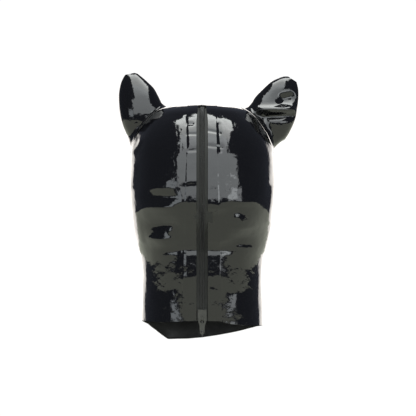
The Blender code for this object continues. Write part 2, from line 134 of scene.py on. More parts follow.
Section = namedtuple("Section", "level width back face corner")
SECTIONS = [
    Section(0.000, 0.00, 0.32, 0.26, 2.0),
    Section(0.003, 0.30, 0.41, 0.35, 2.0),
    Section(0.012, 0.52, 0.50, 0.45, 2.0),
    Section(0.033, 0.69, 0.63, 0.58, 2.0),
    Section(0.071, 0.81, 0.74, 0.70, 2.1),
    Section(0.125, 0.90, 0.84, 0.80, 2.2),
    Section(0.190, 0.96, 0.915, 0.89, 2.3),
    Section(0.270, 0.99, 0.965, 0.95, 2.3),
    Section(0.365, 1.00, 0.995, 0.98, 2.3),
    Section(0.440, 0.995, 1.00, 0.99, 2.3),
    Section(0.495, 0.98, 0.975, 0.99, 2.3),
    Section(0.550, 0.96, 0.910, 0.995, 2.2),
    Section(0.605, 0.93, 0.815, 1.00, 2.2),
    Section(0.665, 0.885, 0.750, 1.00, 2.2),
    Section(0.700, 0.85, 0.748, 0.99, 2.2),
    Section(0.740, 0.83, 0.745, 0.98, 2.2),
    Section(0.800, 0.82, 0.738, 0.95, 2.2),
    Section(0.865, 0.825, 0.731, 0.86, 2.1),
    Section(0.930, 0.83, 0.726, 0.66, 2.1),
    Section(1.000, 0.835, 0.722, 0.59, 2.1),
]

HemPoint = namedtuple("HemPoint", "turn left right")
HEM_LINE = [
    HemPoint(0.00, 0.04, 0.04),
    HemPoint(0.06, 0.05, 0.05),
    HemPoint(0.13, 0.08, 0.19),
    HemPoint(0.22, 0.10, 0.26),
    HemPoint(0.50, 0.00, 0.27),
    HemPoint(0.64, 0.21, 0.34),
    HemPoint(0.72, 0.53, 0.45),
    HemPoint(0.81, 0.98, 0.61),
    HemPoint(0.93, 0.96, 0.80),
    HemPoint(1.00, 0.90, 0.90),
]
HEM_SAG_STARTS = 0.86

# Small unevenness of the latex: its height in millimetres and its wavelengths along each axis
Wrinkle = namedtuple("Wrinkle", "height stretch seed")
BACK_WRINKLE = Wrinkle(0.42, (22, 30, 26), 1)
SKIN_WRINKLES = [Wrinkle(0.20, (9, 16, 10), 2), Wrinkle(0.075, (4, 8, 4.5), 3)]
ZIP_SIDE_WRINKLE = Wrinkle(0.055, (2.6, 14, 12), 6)
EAR_WRINKLES = [Wrinkle(0.12, (9, 9, 16), 4), Wrinkle(0.04, (4, 4, 7), 5)]
FLANGE_STRETCH = (6, 6, 6)

# The crown stands this much higher, in millimetres, than its plain sections
CROWN_LIFT = 1.2

SlotPoint = namedtuple("SlotPoint", "section share")
SLOT_LINE = [SlotPoint(0, 0.0), SlotPoint(1, 0.6), SlotPoint(3, 0.85), SlotPoint(4, 1.0)]

# Folds of the back, as strokes between two points seen from behind. x is positive to the wearer's left.
# Spread is the stroke's half width and height its rise, all in millimetres.
Stroke = namedtuple("Stroke", "start end spread height")
BACK_STROKES = [
    Stroke((17, -84), (7, -83), 4.0, 0.60),
    Stroke((17, -31.0), (7, -31.0), 1.5, -0.80),
    Stroke((16, -19.5), (11, -19.5), 2.0, -0.90),
    Stroke((15, -49.5), (7, -49.0), 1.9, -0.90),
    Stroke((-6, -27.0), (-20, -29.5), 1.8, -0.90),
    Stroke((-6, -44.0), (-22, -45.5), 1.8, -0.90),
    Stroke((-19, -20.0), (-21, -50.0), 1.8, -0.80),
    Stroke((19, -12.0), (17, -45.0), 1.8, -0.70),
    Stroke((40, -84), (36, -82), 3.0, 0.50),
    Stroke((37, -139), (36, -140), 2.2, 0.45),
    Stroke((-36, -126), (-38, -124), 3.0, 0.60),
    Stroke((-9, -205), (-15, -206), 2.4, 0.35),
    Stroke((66, -20), (73, -27), 2.8, 1.10),
    Stroke((73, -27), (77, -36), 2.8, 1.20),
    Stroke((77, -36), (78, -52), 2.8, 1.20),
    Stroke((69, -38), (75, -50), 2.4, 0.90),
    Stroke((76, -66), (79, -90), 3.0, 0.80),
    Stroke((74, -118), (67, -150), 3.4, 0.90),
    Stroke((-73, -30), (-79, -48), 2.8, 1.00),
    Stroke((-79, -90), (-74, -128), 3.2, 0.80),
]

# How far the latex rolls out or in over the nape, in millimetres, by depth below the crown: at the zip, near
# it on the wearer's left and right, and farther out on both sides.
Roll = namedtuple("Roll", "down left_far left_near middle right_near right_far")
NAPE_ROLLS = [
    Roll(82.0, 0.0, 0.0, 0.0, 0.0, 0.0),
    Roll(91.0, 0.2, -0.1, -0.1, -0.1, 0.1),
    Roll(96.8, -1.2, 0.0, 0.0, 0.0, 0.2),
    Roll(101.2, -2.0, 0.3, 0.3, 0.3, 0.5),
    Roll(108.0, -0.4, 0.9, 0.9, 0.9, 0.9),
    Roll(113.6, 1.4, -0.4, 0.2, 1.2, -1.6),
    Roll(119.2, -1.3, -1.4, -1.4, -2.8, -1.2),
    Roll(123.8, -2.6, -1.3, -1.8, -4.6, 0.8),
    Roll(128.2, -3.8, -1.1, -1.6, -3.2, 3.0),
    Roll(133.9, -4.8, -0.6, -0.6, -0.6, 4.6),
    Roll(140.6, 0.6, 0.2, 0.6, 3.0, 2.8),
    Roll(147.4, 5.0, 0.6, 1.0, 5.0, 0.6),
    Roll(153.0, 3.4, 0.2, 0.4, 2.4, 0.8),
    Roll(157.5, 1.8, 0.2, 0.0, 0.2, 2.4),
    Roll(162.0, 1.0, 0.2, 0.0, 0.0, 2.6),
    Roll(174.4, 0.6, 0.0, 0.0, 0.0, 1.2),
    Roll(191.2, 0.0, 0.0, 0.0, 0.0, 0.0),
]
NAPE_TRACKS = [
    ("left_far", 42.0),
    ("left_near", 17.0),
    ("middle", 5.0),
    ("right_near", -16.0),
    ("right_far", -42.0),
]
NAPE_ENDS = 72.0
NECK_ROLLS = [
    Roll(137.0, 0.0, 0.0, 0.0, 0.0, 0.0),
    Roll(146.0, 0.0, 0.9, 0.9, 0.9, 0.0),
    Roll(153.0, 0.0, 2.0, 2.0, 2.0, 0.0),
    Roll(157.5, 0.0, 2.9, 2.9, 2.8, 0.0),
    Roll(162.0, 0.1, 3.5, 3.5, 3.2, 0.2),
    Roll(167.6, 0.1, 3.8, 3.8, 3.5, 0.3),
    Roll(174.4, 0.1, 3.9, 3.9, 3.7, 0.4),
    Roll(183.4, 0.1, 4.0, 4.0, 3.8, 0.4),
    Roll(191.2, 0.1, 4.0, 4.0, 3.9, 0.4),
    Roll(200.2, 0.1, 3.4, 3.4, 3.3, 0.4),
    Roll(211.5, 0.1, 2.5, 2.5, 2.4, 0.3),
    Roll(222.8, 0.1, 1.6, 1.6, 1.5, 0.2),
    Roll(231.8, 0.0, 0.7, 0.7, 0.7, 0.1),
    Roll(240.0, 0.0, 0.0, 0.0, 0.0, 0.0),
]
NECK_TRACKS = [
    ("left_far", 32.0),
    ("left_near", 15.0),
    ("middle", 5.0),
    ("right_near", -17.0),
    ("right_far", -36.0),
]
NECK_ENDS = 60.0
ROLL_BLUR = 1.8

Station = namedtuple("Station", "inner_up inner_out outer_up outer_out bulge")
LEFT_EAR_STATIONS = [
    Station(0.22, -0.94, -0.28, 0.96, 0.90),
    Station(0.32, -0.89, -0.05, 1.00, 1.00),
    Station(0.45, -0.85, 0.17, 1.06, 1.00),
    Station(0.61, -0.77, 0.38, 1.02, 0.90),
    Station(0.75, -0.59, 0.58, 0.91, 0.72),
    Station(0.87, -0.41, 0.75, 0.75, 0.50),
    Station(0.95, -0.27, 0.90, 0.52, 0.28),
    Station(0.98, -0.17, 1.00, 0.26, 0.10),
]
RIGHT_EAR_STATIONS = [
    Station(0.19, -0.85, -0.19, 0.89, 0.90),
    Station(0.29, -0.87, 0.00, 1.12, 1.00),
    Station(0.40, -0.85, 0.22, 1.14, 0.98),
    Station(0.57, -0.75, 0.41, 1.07, 0.85),
    Station(0.75, -0.61, 0.58, 0.93, 0.70),
    Station(0.88, -0.41, 0.74, 0.75, 0.50),
    Station(0.95, -0.26, 0.88, 0.55, 0.28),
    Station(0.99, -0.10, 0.98, 0.32, 0.10),
]

# Folds across the right ear: places are shares of its length and half width, spread and height of EAR_BULGE.
EarFold = namedtuple("EarFold", "start end spread height")
RIGHT_EAR_FOLDS = [
    EarFold((0.22, -0.50), (0.54, 0.77), 0.17, 0.19),
    EarFold((0.08, -0.40), (0.42, 0.85), 0.16, -0.16),
    EarFold((0.60, 0.25), (0.68, 0.45), 0.30, -0.22),
]

Ear = namedtuple("Ear", "name node sign root_x root_z lean length half_width roundness stations folds")
EARS = [
    Ear("left_ear_skin", "left_ear", 1, 0.0602, -0.0226, 18.4, 0.0643, 0.0259, 0.74, LEFT_EAR_STATIONS, []),
    Ear(
        "right_ear_skin", "right_ear", -1, 0.0669, -0.0215, 30.6, 0.0640, 0.0270, 0.60,
        RIGHT_EAR_STATIONS, RIGHT_EAR_FOLDS,
    ),
]

SnoutRing = namedtuple("SnoutRing", "reach radius")
SNOUT_RINGS = [
    SnoutRing(0.00, 1.06),
    SnoutRing(0.16, 0.95),
    SnoutRing(0.45, 0.89),
    SnoutRing(0.75, 0.92),
    SnoutRing(0.90, 1.00),
    SnoutRing(0.97, 0.98),
    SnoutRing(1.00, 0.88),
    SnoutRing(1.00, 0.30),
]


def smooth(value):
    held = np.clip(value, 0.0, 1.0)
    return held * held * (3 - 2 * held)


def rows_at(table, places):
    """A table's rows at fractional places, on a smooth curve through its rows: one array for each column."""
    values = np.array(table, float)
    last = len(values) - 1
    first = np.minimum(np.asarray(places, float).astype(int), last - 1)
    share = (np.asarray(places, float) - first)[:, None]
    before, start, end, after = (values[np.clip(first + k, 0, last)] for k in (-1, 0, 1, 2))
    curve = 0.5 * (
        2 * start
        + (end - before) * share
        + (2 * before - 5 * start + 4 * end - after) * share**2
        + (3 * start - before - 3 * end + after) * share**3
    )
    return curve.T


def column_of(table, name):
    return [getattr(row, name) for row in table]


def sections_at(places):
    level, width, back, face, corner = rows_at(SECTIONS, places)
    return Section(level, width * HEAD_HALF_WIDTH, back * BACK_REACH, face * FACE_REACH, corner)


def heights(level, side, turn):
    drop = HEM_SAG * np.interp(turn, column_of(HEM_LINE, "turn"), column_of(HEM_LINE, side))
    sag = smooth((level - HEM_SAG_STARTS) / (1 - HEM_SAG_STARTS)) * drop
    return WALL - CROWN_TO_HEM * level - sag


def slot_half(places):
    share = np.interp(places, column_of(SLOT_LINE, "section"), column_of(SLOT_LINE, "share"))
    return np.maximum(SEAM_HALF, SLOT_HALF * share)


def skin_points(side, places, turns):
    """The unfolded outer skin of one half, as a grid from the crest to the hem and from the zip to the seam."""
    sign = 1 if side == "left" else -1
    section = sections_at(places)
    width = np.maximum(section.width, 2 * SEAM_HALF)[:, None]
    half_power = (section.corner / 2)[:, None]
    start = np.arcsin(np.minimum(1.0, slot_half(places)[:, None] / width) ** half_power)
    end = math.pi - np.arcsin(np.minimum(1.0, SEAM_HALF / width) ** half_power)
    turn = np.asarray(turns)[None, :]
    angle = start + turn * (end - start)
    x = width * np.sin(angle) ** (1 / half_power)
    reach = np.where(angle < math.pi / 2, section.back[:, None], -section.face[:, None])
    y = reach * np.abs(np.cos(angle)) ** (1 / half_power)
    z = heights(section.level[:, None], side, turn)
    crest = np.asarray(places) == 0
    back, face = section.back[0], section.face[0]
    x[crest] = SEAM_HALF
    y[crest] = back - turn * (back + face)
    return np.stack([sign * x, y, z + 0 * x], axis=2)


def grid_normals(grid, outward):
    normals = np.cross(np.gradient(grid, axis=0), np.gradient(grid, axis=1))
    normals /= np.maximum(np.linalg.norm(normals, axis=2, keepdims=True), 1e-12)
    return normals * np.sign(np.sum(normals * outward, axis=2, keepdims=True))


def stroke_lift(across, up, strokes):
    """Height of the strokes at points seen from behind. Everything is in millimetres."""
    lift = np.zeros_like(across)
    for stroke in strokes:
        start, end = np.array(stroke.start, float), np.array(stroke.end, float)
        along = end - start
        share = ((across - start[0]) * along[0] + (up - start[1]) * along[1]) / along.dot(along)
        share = np.clip(share, 0.0, 1.0)
        away = np.hypot(across - start[0] - share * along[0], up - start[1] - share * along[1])
        lift += stroke.height * np.exp(-((away / stroke.spread) ** 2))
    return lift


def roll_lift(across, down, rolls, track_places, ends):
    """Height of the rolls, in millimetres, at points seen from behind."""
    offsets = np.linspace(-ROLL_BLUR, ROLL_BLUR, 9)
    places = [ends] + [x for _, x in track_places] + [-ends]
    tracks = [np.zeros_like(down)]
    for name, _ in track_places:
        values = [np.interp(down + o, column_of(rolls, "down"), column_of(rolls, name)) for o in offsets]
        tracks.append(np.mean(values, axis=0))
    tracks.append(np.zeros_like(down))
    lift = np.zeros_like(down)
    for k in range(len(places) - 1):
        share = (places[k] - across) / (places[k] - places[k + 1])
        inside = (share >= 0) & (share < 1)
        eased = smooth(share)
        lift = np.where(inside, tracks[k] * (1 - eased) + tracks[k + 1] * eased, lift)
    return lift


def noise_field(points, stretch, seed):
    """Smooth noise at each point of a grid, with wavelengths in millimetres along each axis."""
    offset = Vector((seed * 17.3, seed * 5.1, seed * 9.7))
    flat = points.reshape(-1, 3) * 1000 / np.array(stretch)
    values = [noise.noise(Vector(p) + offset) for p in flat]
    return np.array(values).reshape(points.shape[:2])


def wrinkled(points, wrinkle):
    return wrinkle.height * noise_field(points, wrinkle.stretch, wrinkle.seed)


def even_rows():
    """Section places spaced evenly along the middle of the back, from the crest to the hem."""
    fine = np.linspace(0, len(SECTIONS) - 1, 4000)
    section = sections_at(fine)
    line = np.stack([section.back, heights(section.level, "left", 0.0)], axis=1)
    travelled = np.concatenate([[0], np.cumsum(np.linalg.norm(np.diff(line, axis=0), axis=1))])
    return np.interp(np.linspace(0, travelled[-1], SKIN_ROWS + 1), travelled, fine)


def hood_grid(side):
    """Outer and inner skin of one half."""
    places = even_rows()
    turns = np.concatenate([
        np.linspace(0, ZIP_SIDE_TURN, ZIP_SIDE_COLUMNS + 1),
        np.linspace(ZIP_SIDE_TURN, 0.5, BACK_COLUMNS + 1)[1:],
        np.linspace(0.5, 1, FACE_COLUMNS + 1)[1:],
    ])
    grid = skin_points(side, places, turns)
    inside = np.array([0.0, 0.0, -CROWN_TO_HEM / 2])
    normals = grid_normals(grid, grid - inside)
    for edge in [(0, slice(None)), (slice(None), 0), (slice(None), -1)]:
        normals[edge][..., 0] = 0.0
    normals /= np.linalg.norm(normals, axis=2, keepdims=True)

    x, y, z = (grid[..., k] * 1000 for k in range(3))
    on_back = smooth((y - 5) / 25)
    lift = stroke_lift(x, z, BACK_STROKES) * on_back
    lift += roll_lift(x, -z, NAPE_ROLLS, NAPE_TRACKS, NAPE_ENDS) * on_back
    lift += roll_lift(x, -z, NECK_ROLLS, NECK_TRACKS, NECK_ENDS) * on_back
    lift += wrinkled(grid, BACK_WRINKLE) * on_back
    for wrinkle in SKIN_WRINKLES:
        lift += wrinkled(grid, wrinkle)
    beside_zip = smooth((45 - np.abs(x)) / 20) * smooth(y / 10)
    lift += wrinkled(grid, ZIP_SIDE_WRINKLE) * beside_zip
    lift += CROWN_LIFT * (1 - smooth(-z / 12))
    facing_reach = (FACING_TOP_REACH - (FACING_HEM_REACH - FACING_TOP_REACH) * z / 1000 / CROWN_TO_HEM) * 1000
    facing = smooth((facing_reach - np.abs(x)) / 0.8) * smooth(y / 10)
    lift += facing * FACING_STEP * 1000
    outer = grid + normals * (lift * 0.001)[..., None]
    return outer, outer - normals * WALL


def link(name, mesh):
    made = bpy.data.objects.new(name, mesh)
    bpy.context.scene.collection.objects.link(made)
    return made


def mesh_object(name, points, faces, material):
    mesh = bpy.data.meshes.new(name)
    mesh.from_pydata([tuple(p) for p in points], [], faces)
    mesh.shade_smooth()
    mesh.materials.append(material)
    return link(name, mesh)


def grid_faces(rows, columns, keep=None):
    faces = []
    for r in range(rows - 1):
        for c in range(columns - 1):
            if keep is None or keep[r, c]:
                corner = r * columns + c
                faces.append((corner, corner + 1, corner + columns + 1, corner + columns))
    return faces


def shell(name, outer, inner, materials):
    """A closed wall between two grids of points, with its outside, inside and cut edges as materials."""
    rows, columns = outer.shape[:2]
    size = rows * columns
    outside = grid_faces(rows, columns)
    inside = [tuple(size + k for k in face[::-1]) for face in outside]
    loop = [(0, c) for c in range(columns)] + [(r, columns - 1) for r in range(1, rows)]
    loop += [(rows - 1, c) for c in range(columns - 2, -1, -1)] + [(r, 0) for r in range(rows - 2, 0, -1)]
    ring = [r * columns + c for r, c in loop]
    edge = [(a, b, size + b, size + a) for a, b in zip(ring, ring[1:] + ring[:1])]
    points = np.concatenate([outer.reshape(-1, 3), inner.reshape(-1, 3)])
    made = mesh_object(name, points, outside + inside + edge, materials[0])
    for material in materials[1:]:
        made.data.materials.append(material)
    numbers = [0] * len(outside) + [1] * len(inside) + [2] * len(edge)
    made.data.polygons.foreach_set("material_index", numbers)
    form = bmesh.new()
    form.from_mesh(made.data)
    bmesh.ops.recalc_face_normals(form, faces=form.faces)
    form.to_mesh(made.data)
    form.free()
    return made


def face_outward(made, centre):
    """Turns the faces so that most look away from the centre."""
    form = bmesh.new()
    form.from_mesh(made.data)
    score = sum(f.normal.dot(f.calc_center_median() - centre) for f in form.faces)
    if score < 0:
        bmesh.ops.reverse_faces(form, faces=form.faces)
    loose = [v for v in form.verts if not v.link_faces]
    bmesh.ops.delete(form, geom=loose, context="VERTS")
    form.to_mesh(made.data)
    form.free()


def thicken(made, wall):
    modifier = made.modifiers.new("wall", "SOLIDIFY")
    modifier.thickness = wall
    modifier.offset = -1.0
    modifier.use_rim = True


def apply_modifiers(made):
    graph = bpy.context.evaluated_depsgraph_get()
    mesh = bpy.data.meshes.new_from_object(made.evaluated_get(graph), depsgraph=graph)
    made.modifiers.clear()
    made.data = mesh


def oval_cutter(name, half_x, half_z, length, centre, sides):
    form = bmesh.new()
    bmesh.ops.create_cone(form, cap_ends=True, segments=sides, radius1=1.0, radius2=1.0, depth=1.0)
    for vertex in form.verts:
        x, y, z = vertex.co
        vertex.co = (x * half_x + centre[0], -z * length + centre[1], y * half_z + centre[2])
    bmesh.ops.recalc_face_normals(form, faces=form.faces)
    mesh = bpy.data.meshes.new(name)
    form.to_mesh(mesh)
    form.free()
    return link(name, mesh)


def cut(made, cutter):
    modifier = made.modifiers.new("cut", "BOOLEAN")
    modifier.operation = "DIFFERENCE"
    modifier.solver = "EXACT"
    modifier.object = cutter
    apply_modifiers(made)
    bpy.data.objects.remove(cutter)


def make_hood(side, materials):
    outer, inner = hood_grid(side)
    made = shell(f"hood_{side}_skin", outer, inner, materials)
    sign = 1 if side == "left" else -1
    eye_centre = (sign * EYE_SPACING / 2, -FACE_REACH, EYE_HEIGHT)
    cut(made, oval_cutter("eye_cut", EYE_HALF_WIDTH, EYE_HALF_HEIGHT, FACE_REACH, eye_centre, HOLE_SIDES))
    hole_centre = (0.0, -FACE_REACH, SNOUT_HEIGHT)
    hole_height = SNOUT_HOLE_RADIUS * SNOUT_TALLNESS
    cut(made, oval_cutter("snout_cut", SNOUT_HOLE_RADIUS, hole_height, FACE_REACH, hole_centre, HOLE_SIDES))
    made.data.shade_smooth()
    made.data.set_sharp_from_angle(angle=math.radians(HOOD_SHARP_ANGLE))
    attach(made, "hood")
    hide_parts(f"hood_{side}")
    return outer


def head_tree(grids):
    points, faces = [], []
    for grid in grids:
        rows, columns = grid.shape[:2]
        base = len(points)
        points.extend(Vector(p) for p in grid.reshape(-1, 3))
        faces.extend(tuple(base + k for k in face) for face in grid_faces(rows, columns))
    return BVHTree.FromPolygons(points, faces)


def off_head(tree, point, clearance, on_it):
    """The point, or the nearest one that lies clearance off the hood's skin."""
    place = Vector(point)
    hit = tree.find_nearest(place)[0]
    inside = Vector((0.0, 0.0, -CROWN_TO_HEM / 2))
    normal = tree.find_nearest(place)[1]
    if normal.dot(hit - inside) < 0:
        normal = -normal
    if on_it or (place - hit).dot(normal) < clearance:
        return hit + normal * clearance
    return place


def ear_grid(ear):
    share = np.linspace(0, 1, EAR_ROWS + 1)
    station = Station(*rows_at(ear.stations, share * (len(ear.stations) - 1)))
    angle = np.linspace(0, math.pi, EAR_COLUMNS + 1)[None, :]
    across = (1 - np.cos(angle)) / 2
    up = (station.inner_up[:, None] * (1 - across) + station.outer_up[:, None] * across) * ear.length
    out = station.inner_out[:, None] * (1 - across) + station.outer_out[:, None] * across
    out = out * ear.half_width
    round_back = np.maximum(np.sin(angle), 0.0)
    bulge = station.bulge[:, None] * EAR_BULGE * round_back**ear.roundness
    strokes = [
        Stroke(
            (fold.start[0] * ear.length * 1000, fold.start[1] * ear.half_width * 1000),
            (fold.end[0] * ear.length * 1000, fold.end[1] * ear.half_width * 1000),
            fold.spread * EAR_BULGE * 1000,
            fold.height * EAR_BULGE * 1000,
        )
        for fold in ear.folds
    ]
    bulge = bulge + stroke_lift(up * 1000, out * 1000, strokes) * 0.001 * round_back
    lean = math.radians(ear.lean)
    x = ear.root_x + up * math.sin(lean) + out * math.cos(lean)
    z = ear.root_z + up * math.cos(lean) - out * math.sin(lean)
    return np.stack([ear.sign * x, EAR_PLANE + bulge, z], axis=2)


def flange_rows(grid, normals, tree):
    """Rows that lead the ear's foot over onto the head in a soft fillet, from the flange's edge upward."""
    rows = []
    for c in range(grid.shape[1]):
        foot = off_head(tree, grid[0, c], SEAT_GAP + FLANGE_EDGE, True)
        out = Vector(normals[0, c])
        end = off_head(tree, foot + out * FLANGE_REACH, SEAT_GAP + FLANGE_EDGE, True)
        top = Vector(grid[FLANGE_FROM_ROW, c])
        for k in range(FLANGE_ROWS):
            share = k / FLANGE_ROWS
            point = end * (1 - share) ** 2 + foot * (2 * share * (1 - share)) + top * share**2
            rows.append(off_head(tree, point, SEAT_GAP + FLANGE_EDGE, k == 0))
    return np.array(rows).reshape(grid.shape[1], FLANGE_ROWS, 3).transpose(1, 0, 2)


def make_ear(ear, tree, materials):
    grid = ear_grid(ear)
    front = np.array([ear.sign * ear.root_x, EAR_PLANE - ear.length, ear.root_z])
    normals = grid_normals(grid, grid - front)
    lift = sum(wrinkled(grid, wrinkle) for wrinkle in EAR_WRINKLES)
    grid = grid + normals * (lift * 0.001)[..., None]
    for r in range(grid.shape[0]):
        for c in range(grid.shape[1]):
            grid[r, c] = off_head(tree, grid[r, c], SEAT_GAP + WALL, r == 0)
    flange = flange_rows(grid, normals, tree)
    outer = np.concatenate([flange, grid[FLANGE_FROM_ROW:]])
    rows = np.arange(len(outer))[:, None] / FLANGE_ROWS
    low = smooth(rows / 0.6) * (1 - smooth((rows - 0.6) / 1.2))
    waves = FLANGE_WAVES * np.abs(noise_field(outer, FLANGE_STRETCH, 7)) * low * 0.001
    outer = outer + grid_normals(outer, outer - front) * waves[..., None]
    wall = np.full(len(outer), WALL)
    wall[: FLANGE_ROWS] = FLANGE_EDGE + (WALL - FLANGE_EDGE) * np.linspace(0, 1, FLANGE_ROWS) ** 2
    inner = outer - grid_normals(outer, outer - front) * wall[:, None, None]
    made = shell(ear.name, outer, inner, materials)
    made.data.shade_smooth()
    made.data.set_sharp_from_angle(angle=math.radians(EAR_SHARP_ANGLE))
    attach(made, "hood")
    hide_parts(ear.node)


def make_snout(tree, material):
    rings = rows_at(SNOUT_RINGS, np.linspace(0, len(SNOUT_RINGS) - 1, 57))
    reach, radius = rings[0], rings[1] * SNOUT_RADIUS
    front = -FACE_REACH - SNOUT_REACH
    depth = 1 - SNOUT_WALL / SNOUT_REACH
    loops = [(r, s) for r, s in zip(reach[::-1], radius[::-1])]
    loops += [(r * depth, s - SNOUT_WALL) for r, s in zip(reach, radius)]
    points = []
    for along, size in loops:
        for k in range(SNOUT_SIDES):
            angle = 2 * math.pi * (k + 0.5) / SNOUT_SIDES
            x = size * math.cos(angle)
            z = SNOUT_HEIGHT + size * math.sin(angle) * SNOUT_TALLNESS
            start = Vector((math.copysign(max(abs(x), 2 * SEAM_HALF), x), front, z))
            foot = tree.ray_cast(start, Vector((0, 1, 0)))[0].y - SEAT_GAP
            points.append((x, foot + along * (front - foot), z))
    faces = []
    for ring in range(len(loops) - 1):
        for k in range(SNOUT_SIDES):
            after = (k + 1) % SNOUT_SIDES
            low, high = ring * SNOUT_SIDES, (ring + 1) * SNOUT_SIDES
            faces.append((low + k, low + after, high + after, high + k))
    faces.append(tuple(range(SNOUT_SIDES)))
    last = (len(loops) - 1) * SNOUT_SIDES
    faces.append(tuple(last + k for k in reversed(range(SNOUT_SIDES))))
    made = mesh_object("snout_skin", points, faces, material)
    form = bmesh.new()
    form.from_mesh(made.data)
    bmesh.ops.recalc_face_normals(form, faces=form.faces)
    form.to_mesh(made.data)
    form.free()
    for sign in (1, -1):
        centre = (sign * NOSTRIL_SPACING / 2, front, SNOUT_HEIGHT)
        half_x, half_z = NOSTRIL_HALF_WIDTH, NOSTRIL_HALF_HEIGHT
        cut(made, oval_cutter("nostril", half_x, half_z, SNOUT_REACH / 2, centre, NOSTRIL_SIDES))
    made.data.shade_smooth()
    made.data.set_sharp_from_angle(angle=math.radians(SNOUT_SHARP_ANGLE))
    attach(made, "hood")
    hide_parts("snout")


def back_line(places, x):
    """Points of the unfolded back at this distance from the middle, one for each place."""
    section = sections_at(places)
    y = section.back * (1 - (abs(x) / section.width) ** section.corner) ** (1 / section.corner)
    return np.stack([x + 0 * y, y, heights(section.level, "left", 0.0)], axis=1)


def back_frame(places, x):
    """Points of the back with their outward normals."""
    step = 0.02
    points = back_line(places, x)
    ends = np.minimum(places + step, len(SECTIONS) - 1)
    down = back_line(ends, x) - back_line(places - step, x)
    down /= np.linalg.norm(down, axis=1, keepdims=True)
    across = back_line(places, x + 0.0002) - back_line(places, x - 0.0002)
    normals = np.cross(across, down)
    return points, normals / np.linalg.norm(normals, axis=1, keepdims=True)


def even_places(count):
    """Section places spaced evenly along the zip's line."""
    fine = np.linspace(ZIP_TOP_SECTION, len(SECTIONS) - 1, 2000)
    line = back_line(fine, 0.0)
    travelled = np.concatenate([[0], np.cumsum(np.linalg.norm(np.diff(line, axis=0), axis=1))])
    return np.interp(np.linspace(0, travelled[-1], count), travelled, fine), travelled[-1]


def make_tape(side, material):
    sign = 1 if side == "left" else -1
    inner = COIL_HALF - TAPE_UNDER_COIL
    xs = np.linspace(inner, TAPE_HALF, TAPE_COLUMNS)
    places = even_places(TAPE_ROWS)[0]
    columns = []
    for x in xs:
        points, normals = back_frame(places, sign * x)
        rib = TAPE_RIB_HEIGHT * math.cos(2 * math.pi * x / TAPE_RIB_PITCH)
        weave = TAPE_RIB_HEIGHT * TAPE_WEAVE_SHARE * np.cos(np.arange(len(places)) * math.pi)
        columns.append(points - normals * (TAPE_DEPTH - rib - weave)[:, None])
    grid = np.stack(columns, axis=1)
    rows, cols = grid.shape[:2]
    made = mesh_object(f"zip_tape_{side}_weave", grid.reshape(-1, 3), grid_faces(rows, cols), material)
    face_outward(made, Vector((0, 0, -CROWN_TO_HEM / 2)))
    thicken(made, TAPE_THICKNESS)
    apply_modifiers(made)
    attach(made, "hood")
    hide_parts(f"zip_tape_{side}")


def tube(path, radius, sides):
    """Points and faces of a closed tube along a path, with end caps."""
    path = np.asarray(path)
    ahead = np.gradient(path, axis=0)
    ahead /= np.linalg.norm(ahead, axis=1, keepdims=True)
    up = np.array([0.0, 0.3, 1.0])
    side_way = np.cross(ahead, up)
    side_way /= np.maximum(np.linalg.norm(side_way, axis=1, keepdims=True), 1e-9)
    other = np.cross(side_way, ahead)
    points, faces = [], []
    for k in range(sides):
        angle = 2 * math.pi * k / sides
        points.append(path + radius * (math.cos(angle) * side_way + math.sin(angle) * other))
    points = np.stack(points, axis=1).reshape(-1, 3)
    for ring in range(len(path) - 1):
        for k in range(sides):
            after = (k + 1) % sides
            low, high = ring * sides, (ring + 1) * sides
            faces.append((low + k, low + after, high + after, high + k))
    last = (len(path) - 1) * sides
    faces.append(tuple(reversed(range(sides))))
    faces.append(tuple(last + k for k in range(sides)))
    return points, faces


def make_chain(material):
    """Two meshed nylon coils, each a flattened helix along the zip's line."""
    length = even_places(2)[1]
    turns = int(length / COIL_PITCH)
    count = turns * COIL_STEPS + 1
    places = even_places(count)[0]
    points, normals = back_frame(places, 0.0)
    phase = np.arange(count) / COIL_STEPS * 2 * math.pi
    middle = (COIL_HALF - COIL_OVERLAP) / 2
    reach = (COIL_HALF + COIL_OVERLAP) / 2 - COIL_WIRE
    all_points, all_faces = [], []
    for sign in (1, -1):
        turn = phase + (0 if sign > 0 else math.pi)
        x = sign * (middle + reach * np.cos(turn))
        depth = COIL_CENTRE_DEPTH - (COIL_DEPTH - COIL_WIRE) * np.sin(turn)
        path = points - normals * depth[:, None] + np.stack([x, 0 * x, 0 * x], axis=1)
        made_points, faces = tube(path, COIL_WIRE, COIL_WIRE_SIDES)
        base = sum(len(p) for p in all_points)
        all_points.append(made_points)
        all_faces += [tuple(base + k for k in face) for face in faces]
    made = mesh_object("zip_coils", np.concatenate(all_points), all_faces, material)
    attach(made, "hood")
    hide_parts("zip_chain")


def shader_of(material):
    return material.node_tree.nodes["Principled BSDF"]


def new_material(name):
    material = bpy.data.materials.new(name)
    material.use_nodes = True
    return material, material.node_tree, shader_of(material)


